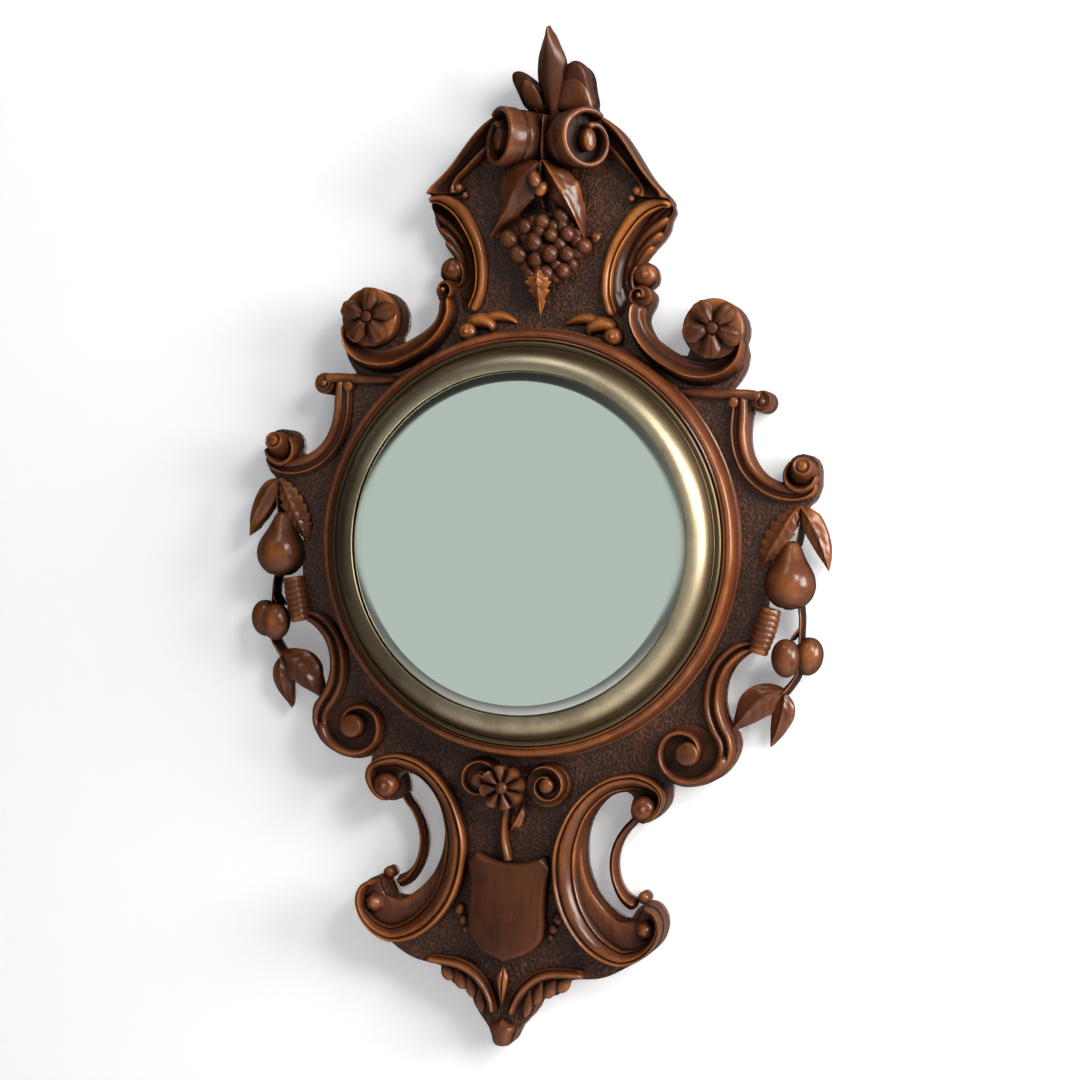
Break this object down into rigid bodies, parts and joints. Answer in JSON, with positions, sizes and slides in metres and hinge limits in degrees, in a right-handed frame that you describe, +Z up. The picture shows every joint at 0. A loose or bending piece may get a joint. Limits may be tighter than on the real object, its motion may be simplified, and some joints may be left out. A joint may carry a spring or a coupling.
{
  "type": "wall mirror",
  "caption": "Carved walnut wall mirror: round bevelled glass in a proud brass bezel, with pierced scrolls, hanging fruit, flowers, a grape crest and a shield apron.",
  "frame": {"origin": "centre of the hanging hole in the brass hanging plate, in the plane of the wall", "axes": "+X to the right as one faces the mirror, +Y into the wall, +Z up; the mirror faces -Y and the back of the boards is y = 0"},
  "size_m": [0.5152, 0.0752, 0.8719],
  "materials": {
    "walnut_carved": "polished carved walnut, bright orange-brown on the crowns and dark in the hollows",
    "walnut_turned": "turned and polished walnut",
    "walnut_ground": "dark walnut boards with a punched ground between the carvings",
    "brass": "spun brass, lightly tarnished",
    "mirror": "silvered bevelled glass",
    "backing": "grey-brown backing board",
    "pine": "plain planed softwood",
    "button_wood": "oiled hardwood turn button",
    "screw": "aged brass screws",
    "plate_brass": "aged brass plate"
  },
  "bodies": {
    "frame": {"crest_board": "walnut_ground", "centre_board": "walnut_ground", "apron_board": "walnut_ground", "ring_moulding": "walnut_turned", "brass_bezel": "brass", "mirror_plate": "mirror", "backing_disc": "backing", "glass_rest": "pine", "back_panel": "pine", "button_screws": "screw", "hanging_plate": "plate_brass", "hanging_screws": "screw", "crest_finial": "walnut_carved", "crest_volute_right": "walnut_carved", "crest_volute_left": "walnut_carved", "crest_stem": "walnut_carved", "crest_band_right": "walnut_carved", "crest_band_left": "walnut_carved", "crest_scroll_right": "walnut_carved", "crest_scroll_left": "walnut_carved", "crest_panel_right": "walnut_carved", "crest_panel_left": "walnut_carved", "flower_scroll_right": "walnut_carved", "flower_scroll_left": "walnut_carved", "flower_right": "walnut_carved", "flower_left": "walnut_carved", "vine_leaves": "walnut_carved", "grape_cluster": "walnut_carved", "leaf_spray_right": "walnut_carved", "leaf_spray_left": "walnut_carved", "side_scroll_right": "walnut_carved", "side_scroll_left": "walnut_carved", "swag_leaves_right": "walnut_carved", "swag_leaves_left": "walnut_carved", "pear_right": "walnut_carved", "pear_left": "walnut_carved", "husk_right": "walnut_carved", "husk_left": "walnut_carved", "berries_right": "walnut_carved", "berries_left": "walnut_carved", "drop_leaves_right": "walnut_carved", "drop_leaves_left": "walnut_carved", "lower_scroll_right": "walnut_carved", "lower_scroll_left": "walnut_carved", "base_scroll_right": "walnut_carved", "base_scroll_left": "walnut_carved", "slender_scroll_right": "walnut_carved", "slender_scroll_left": "walnut_carved", "rosette": "walnut_carved", "rosette_volutes": "walnut_carved", "shield_stem": "walnut_carved", "shield": "walnut_carved", "bead_sprigs": "walnut_carved", "base_arches": "walnut_carved", "base_drop": "walnut_carved"},
    "turn_button_1": {"turn_button_1": "button_wood"},
    "turn_button_2": {"turn_button_2": "button_wood"},
    "turn_button_3": {"turn_button_3": "button_wood"},
    "turn_button_4": {"turn_button_4": "button_wood"}
  },
  "joints": [
    {"name": "turn_button_1_turn", "type": "hinge", "parent": "frame", "child": "turn_button_1", "pos_m": [0.12799, -0.0035, -0.13401], "axis": [0, 1, 0], "continuous": true},
    {"name": "turn_button_2_turn", "type": "hinge", "parent": "frame", "child": "turn_button_2", "pos_m": [-0.12799, -0.0035, -0.13401], "axis": [0, 1, 0], "continuous": true},
    {"name": "turn_button_3_turn", "type": "hinge", "parent": "frame", "child": "turn_button_3", "pos_m": [-0.12799, -0.0035, -0.38999], "axis": [0, 1, 0], "continuous": true},
    {"name": "turn_button_4_turn", "type": "hinge", "parent": "frame", "child": "turn_button_4", "pos_m": [0.12799, -0.0035, -0.38999], "axis": [0, 1, 0], "continuous": true}
  ]
}
